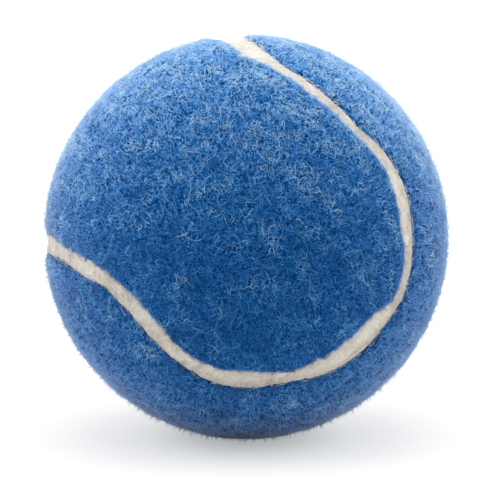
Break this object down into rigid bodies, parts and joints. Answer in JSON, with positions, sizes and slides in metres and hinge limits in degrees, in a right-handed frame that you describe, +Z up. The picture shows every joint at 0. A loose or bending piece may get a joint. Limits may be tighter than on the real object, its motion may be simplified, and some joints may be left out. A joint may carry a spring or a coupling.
{
  "type": "tennis ball",
  "caption": "Hollow rubber ball covered by interlocking dumbbell panels of blue felt that meet along one closed cream seam, for racket games and for play.",
  "frame": {"origin": "centre of the ball", "axes": "+Z up as the ball lies in the picture, -Y towards the viewer, +X to the viewer's right"},
  "size_m": [0.067, 0.067, 0.067],
  "materials": {
    "core_rubber": "matt moulded rubber",
    "core_cement": "dull dried rubber cement",
    "panel_backing": "dull rubber coat",
    "felt": "blue needled felt with a raised, matted nap",
    "seam_cement": "matt cream vulcanised cement"
  },
  "bodies": {
    "root": {"core_half_lower": "core_rubber", "core_half_upper": "core_rubber", "core_joint_cement": "core_cement", "core_coat": "core_cement", "panel_coat_a": "panel_backing", "panel_coat_b": "panel_backing", "felt_panel_a": "felt", "felt_panel_b": "felt", "seam_cement": "seam_cement"}
  },
  "joints": []
}
